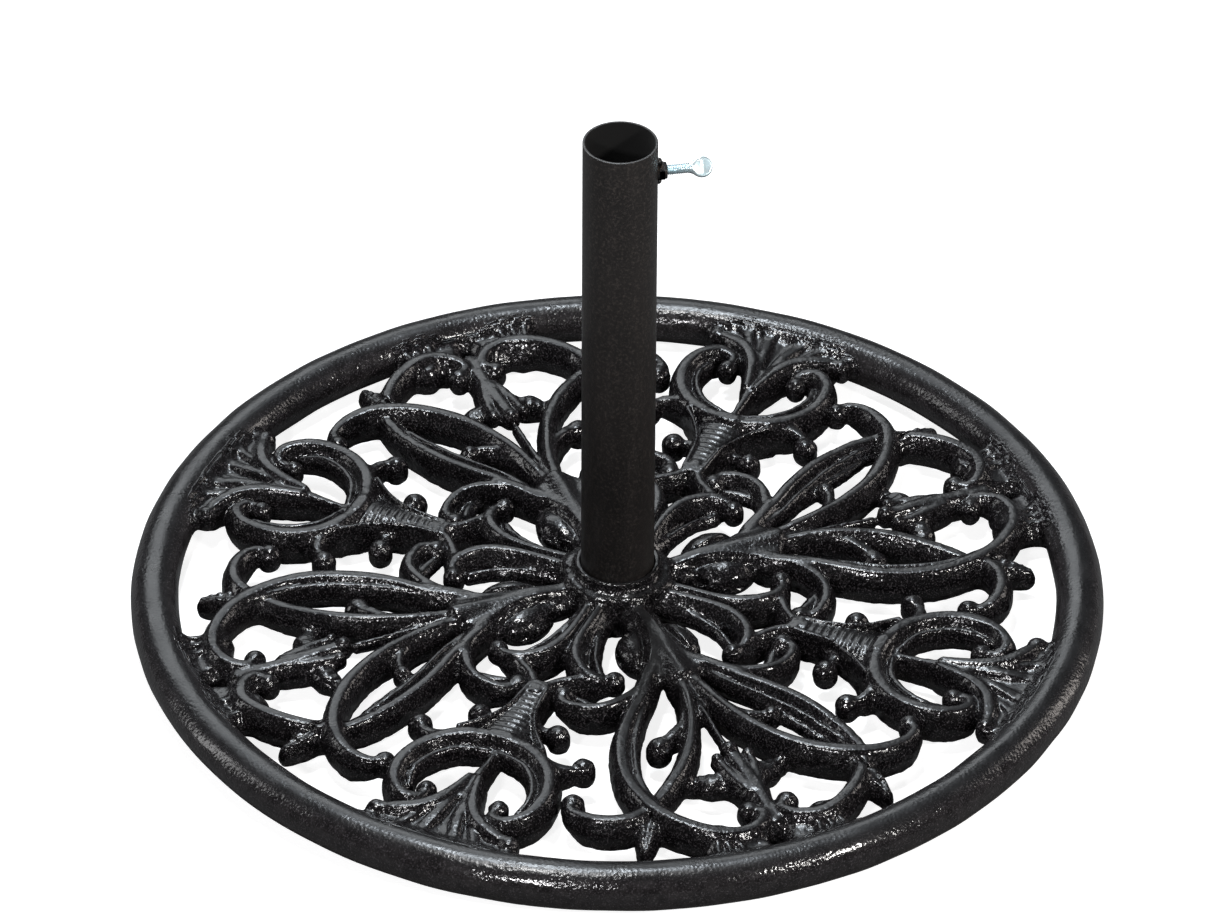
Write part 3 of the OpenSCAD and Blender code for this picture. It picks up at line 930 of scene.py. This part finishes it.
class Shader:
    """A Principled material and short calls that add nodes to it."""

    def __init__(self, name):
        self.material = bpy.data.materials.new(name)
        self.material.use_nodes = True
        self.tree = self.material.node_tree
        self.main = self.tree.nodes["Principled BSDF"]
        self.place = self.add("ShaderNodeTexCoord").outputs["Object"]

    def add(self, kind, **settings):
        node = self.tree.nodes.new(kind)
        for key, value in settings.items():
            setattr(node, key, value)
        return node

    def link(self, source, target):
        self.tree.links.new(source, target)

    def noise(self, scale, detail=3.0, roughness=0.55, stretch=None):
        node = self.add("ShaderNodeTexNoise")
        node.inputs["Scale"].default_value = scale
        node.inputs["Detail"].default_value = detail
        node.inputs["Roughness"].default_value = roughness
        place = self.place
        if stretch:
            mapping = self.add("ShaderNodeMapping")
            mapping.inputs["Scale"].default_value = stretch
            self.link(place, mapping.inputs["Vector"])
            place = mapping.outputs["Vector"]
        self.link(place, node.inputs["Vector"])
        return node.outputs["Fac"]

    def cells(self, scale, smooth=0.6):
        node = self.add("ShaderNodeTexVoronoi", feature="SMOOTH_F1")
        node.inputs["Scale"].default_value = scale
        node.inputs["Smoothness"].default_value = smooth
        self.link(self.place, node.inputs["Vector"])
        return node.outputs["Distance"]

    def maths(self, operation, a, b=None, clamp=False):
        node = self.add("ShaderNodeMath", operation=operation, use_clamp=clamp)
        for socket, value in zip(node.inputs, (a, b)):
            if value is None:
                continue
            if isinstance(value, (int, float)):
                socket.default_value = value
            else:
                self.link(value, socket)
        return node.outputs[0]

    def remap(self, value, low, high, to_low=0.0, to_high=1.0):
        node = self.add("ShaderNodeMapRange", clamp=True)
        self.link(value, node.inputs["Value"])
        for key, number in (("From Min", low), ("From Max", high), ("To Min", to_low), ("To Max", to_high)):
            node.inputs[key].default_value = number
        return node.outputs["Result"]

    def mix(self, share, a, b):
        node = self.add("ShaderNodeMix", data_type="RGBA")
        self.link(share, node.inputs["Factor"])
        for socket, value in ((node.inputs["A"], a), (node.inputs["B"], b)):
            if isinstance(value, tuple):
                socket.default_value = (*value, 1)
            else:
                self.link(value, socket)
        return node.outputs["Result"]

    def bump(self, height, distance, strength=1.0, onto=None):
        node = self.add("ShaderNodeBump")
        node.inputs["Distance"].default_value = distance
        if isinstance(strength, (int, float)):
            node.inputs["Strength"].default_value = strength
        else:
            self.link(strength, node.inputs["Strength"])
        self.link(height, node.inputs["Height"])
        if onto is not None:
            self.link(onto, node.inputs["Normal"])
        return node.outputs["Normal"]

    def facing_up(self):
        """0 on walls and undersides, 1 where the surface looks straight up."""
        split = self.add("ShaderNodeSeparateXYZ")
        self.link(self.add("ShaderNodeNewGeometry").outputs["Normal"], split.inputs["Vector"])
        return split.outputs["Z"]

    def off_axis(self):
        """Distance from the pole's axis, in metres."""
        flat = self.add("ShaderNodeVectorMath", operation="MULTIPLY")
        flat.inputs[1].default_value = (1, 1, 0)
        self.link(self.place, flat.inputs[0])
        length = self.add("ShaderNodeVectorMath", operation="LENGTH")
        self.link(flat.outputs["Vector"], length.inputs[0])
        return length.outputs["Value"]

    def done(self, **sockets):
        for name, value in sockets.items():
            socket = self.main.inputs[name.replace("_", " ")]
            if isinstance(value, (int, float)):
                socket.default_value = value
            elif isinstance(value, tuple):
                socket.default_value = (*value, 1)
            else:
                self.link(value, socket)
        return self.material


def cast_iron(name, grain_on_top, waviness, flat_from, wall_dark, wall_light):
    """Black enamel over sand-cast iron: smooth dressed tops, coarse glossy grain on the walls, and light
    specks painted into the colour as glints off the grain.

    flat_from is how squarely a surface faces up where it starts to count as a top.
    """
    s = Shader(name)
    top = s.remap(s.facing_up(), flat_from, 0.98)
    wall = s.maths("SUBTRACT", 1.0, top)
    sand = s.noise(640, 2.5, 0.65)
    grains = s.cells(520)
    large = s.noise(130, 3.0)
    wear = s.noise(38, 4.0, 0.65)
    # Painted glints: light specks in the colour of walls and tops stand in for sparkle off the sand-cast
    # grain.
    painted_glint = s.remap(s.noise(900, 2.0, 0.7), 0.53, 0.72)
    tint = s.mix(s.remap(large, 0.35, 0.65), wall_dark, wall_light)
    tint = s.mix(painted_glint, tint, (0.056, 0.051, 0.055))
    dressed = s.mix(s.remap(wear, 0.35, 0.7), (0.0056, 0.0057, 0.0062), (0.0112, 0.0114, 0.0122))
    dressed = s.mix(s.maths("MULTIPLY", painted_glint, 0.4), dressed, (0.040, 0.040, 0.043))
    rough = s.maths("ADD", s.remap(top, 0, 1, 0.14, 0.29), s.remap(wear, 0.3, 0.7, -0.04, 0.06))
    grain = s.maths("MULTIPLY", wall, 1.0 - grain_on_top)
    patches = s.remap(s.noise(55, 2.0), 0.38, 0.62, 0.3, 1.0)
    strength = s.maths("MULTIPLY", s.maths("ADD", grain, grain_on_top), patches)
    normal = s.bump(large, waviness, 0.5)
    normal = s.bump(grains, 0.00034, strength, normal)
    normal = s.bump(sand, 0.00024, strength, normal)
    return s.done(Base_Color=s.mix(top, tint, dressed), Roughness=rough, Normal=normal)


def powder_coat(name):
    """Satin powder coat on the tube, with long faint streaks from the drawn steel and painted shade inside
    its bore.
    """
    s = Shader(name)
    streak = s.noise(70, 3.0, 0.6, (1, 1, 0.06))
    speck = s.noise(1600, 2.0)
    cloud = s.noise(14, 4.0, 0.6)
    grain = s.noise(620, 3.0, 0.75)
    colour = s.mix(s.remap(cloud, 0.3, 0.7), (0.0085, 0.0080, 0.0079), (0.0150, 0.0132, 0.0126))
    colour = s.mix(s.remap(streak, 0.5, 0.75, 0, 0.35), colour, (0.024, 0.019, 0.0175))
    colour = s.mix(s.remap(grain, 0.50, 0.72), colour, (0.050, 0.043, 0.039))
    rough = s.maths("ADD", s.remap(streak, 0.3, 0.7, 0.30, 0.40), s.remap(cloud, 0.3, 0.7, -0.03, 0.04))
    normal = s.bump(streak, 0.0006, 0.2)
    normal = s.bump(grain, 0.0004, 0.4, normal)
    normal = s.bump(speck, 0.00025, 0.35, normal)
    # Painted shade: the bore is coloured near black and made fully rough, standing in for the shade down
    # inside the tube.
    inside = s.remap(s.off_axis(), BORE_R * MM, (BORE_R + 1.0) * MM, 1, 0)
    colour = s.mix(inside, colour, (0.0006, 0.0006, 0.0006))
    rough = s.maths("MAXIMUM", rough, inside)
    return s.done(Base_Color=colour, Roughness=rough, Normal=normal)


def thick_paint(name):
    """Nut and welds under thick glossy paint."""
    s = Shader(name)
    lumps = s.noise(420, 3.0)
    wear = s.noise(180, 4.0, 0.7)
    colour = s.mix(s.remap(wear, 0.53, 0.68), (0.010, 0.010, 0.011), (0.085, 0.058, 0.042))
    rough = s.remap(wear, 0.3, 0.75, 0.24, 0.5)
    return s.done(Base_Color=colour, Roughness=rough, Normal=s.bump(lumps, 0.0006, 0.5))


def plated(name, bright, shade, rough_low, rough_high, metal=1.0):
    """Plated steel with clouds in the plating, fine scratches and a little tarnish."""
    s = Shader(name)
    cloud = s.noise(160, 4.0, 0.6)
    scratch = s.noise(2400, 2.0, 0.6, (1, 1, 0.12))
    colour = s.mix(s.remap(cloud, 0.35, 0.7), bright, shade)
    scuffs = s.remap(scratch, 0.4, 0.6, -0.03, 0.04)
    rough = s.maths("ADD", s.remap(cloud, 0.3, 0.7, rough_low, rough_high), scuffs)
    normal = s.bump(scratch, 0.00012, 0.35)
    return s.done(Base_Color=colour, Roughness=rough, Metallic=metal, Normal=normal)


def moulded(name, light, dark, rough):
    """Moulded nylon or rubber with a fine matt skin and dusty patches."""
    s = Shader(name)
    dust = s.noise(240, 4.0, 0.65)
    skin = s.noise(2600, 2.0)
    colour = s.mix(s.remap(dust, 0.35, 0.7), dark, light)
    return s.done(Base_Color=colour, Roughness=s.remap(dust, 0.3, 0.7, rough - 0.06, rough + 0.08),
                  Normal=s.bump(skin, 0.00015, 0.5))


# ---- stage, light and camera ----

def make_stage():
    """White floor under the base. It shows brighter to the camera than it lights the base."""
    size = 6.0
    floor = new_mesh("floor", [(-size, -size, 0), (size, -size, 0), (size, size, 0), (-size, size, 0)],
                     [(0, 1, 2, 3)], smooth=False)
    s = Shader("white_floor")
    seen = s.add("ShaderNodeLightPath").outputs["Is Camera Ray"]
    tone = s.mix(seen, (0.10, 0.10, 0.10), (0.45, 0.45, 0.45))
    glow = s.remap(seen, 0, 1, 0.0, 0.86)
    material = s.done(Base_Color=tone, Roughness=0.9, Emission_Color=(1.0, 1.0, 1.0),
                      Emission_Strength=glow)
    floor.data.materials.append(material)


def area_light(name, size, strength, place, target=(0, 0, 0.05), colour=(1, 1, 1)):
    light = bpy.data.lights.new(name, "AREA")
    light.shape = "RECTANGLE"
    light.size, light.size_y = size
    light.energy = strength
    light.color = colour
    obj = bpy.data.objects.new(name, light)
    obj.location = place
    obj.rotation_euler = (Vector(target) - Vector(place)).to_track_quat("-Z", "Y").to_euler()
    bpy.context.scene.collection.objects.link(obj)


def make_lights():
    world = bpy.data.worlds.new("studio")
    bpy.context.scene.world = world
    world.use_nodes = True
    world.node_tree.nodes["Background"].inputs["Color"].default_value = (1.0, 1.0, 1.0, 1)
    world.node_tree.nodes["Background"].inputs["Strength"].default_value = 0.05
    area_light("back_softbox", (2.6, 1.2), 34, (-0.3, 3.0, 2.2), colour=(0.93, 0.97, 1.0))
    area_light("overhead", (0.45, 0.35), 40, (-0.05, 0.9, 2.5), colour=(0.86, 0.93, 1.0))
    area_light("top", (0.22, 0.22), 26, (-0.35, -0.1, 2.4))
    area_light("left", (0.35, 1.6), 9, (-2.4, 0.6, 0.9), (0, 0, 0.15))
    area_light("right", (0.35, 1.6), 10, (2.4, 0.4, 0.8), (0, 0, 0.15), (1.0, 0.93, 0.88))
    area_light("key", (0.25, 0.2), 28, (-1.2, -2.25, 1.65), colour=(1.0, 0.98, 1.0))
    area_light("front_right", (0.3, 0.25), 42, (1.5, -1.9, 1.6), colour=(1.0, 0.97, 0.94))


def make_camera():
    """Same standpoint as the reference view: from the front left, well above the base."""
    azimuth, elevation, distance = math.radians(-100), math.radians(36.92), 15.77 * BASE_R * MM
    aim = Vector((-0.0012, 0.0002, 0.107))
    toward = Vector((math.cos(azimuth) * math.cos(elevation), math.sin(azimuth) * math.cos(elevation),
                     math.sin(elevation)))
    data = bpy.data.cameras.new("camera")
    data.sensor_width, data.lens = 36, 226.9
    data.clip_start, data.clip_end = 0.1, 50
    camera = bpy.data.objects.new("camera", data)
    bpy.context.scene.collection.objects.link(camera)
    camera.location = aim + toward * distance
    facing = (-toward).to_track_quat("-Z", "Y").to_matrix().to_4x4()
    camera.rotation_euler = (facing @ Matrix.Rotation(math.radians(0.38), 4, "Z")).to_euler()
    bpy.context.scene.camera = camera
    bpy.context.scene.view_settings.view_transform = "Standard"


def build():
    # Painted shade: the scrollwork's and hub's walls get a far darker tone than the rim's walls of the same
    # enamel, standing in for the shade deep in the lattice.
    casting = cast_iron("cast_iron_scroll_shaded", 0.45, 0.0012, 0.86,
                        (0.0012, 0.0010, 0.0013), (0.0050, 0.0045, 0.0049))
    make_scrollwork(casting)
    make_hub(casting)
    rim_iron = cast_iron("cast_iron_rim", 0.55, 0.0002, 0.72,
                         (0.0075, 0.0068, 0.0072), (0.0180, 0.0165, 0.0172))
    make_rim(rim_iron)
    make_tube(powder_coat("tube_powder_coat"))
    make_plug(plated("plug_steel", (0.42, 0.42, 0.43), (0.3, 0.29, 0.28), 0.3, 0.45))
    paint = thick_paint("nut_paint")
    make_nut(paint)
    make_welds(paint)
    make_thumb_screw(plated("zinc_bright", (0.72, 0.84, 0.88), (0.52, 0.70, 0.76), 0.30, 0.42, 0.86))
    make_tip(moulded("nylon_natural", (0.82, 0.81, 0.76), (0.74, 0.73, 0.68), 0.5))
    dull = plated("zinc_dull", (0.62, 0.62, 0.60), (0.46, 0.46, 0.45), 0.3, 0.42)
    make_bolt(dull)
    make_spring_washer(dull)
    make_flat_washer(dull)
    make_feet(moulded("rubber", (0.03, 0.03, 0.029), (0.014, 0.014, 0.014), 0.72))


make_camera()
make_stage()
make_lights()
build()
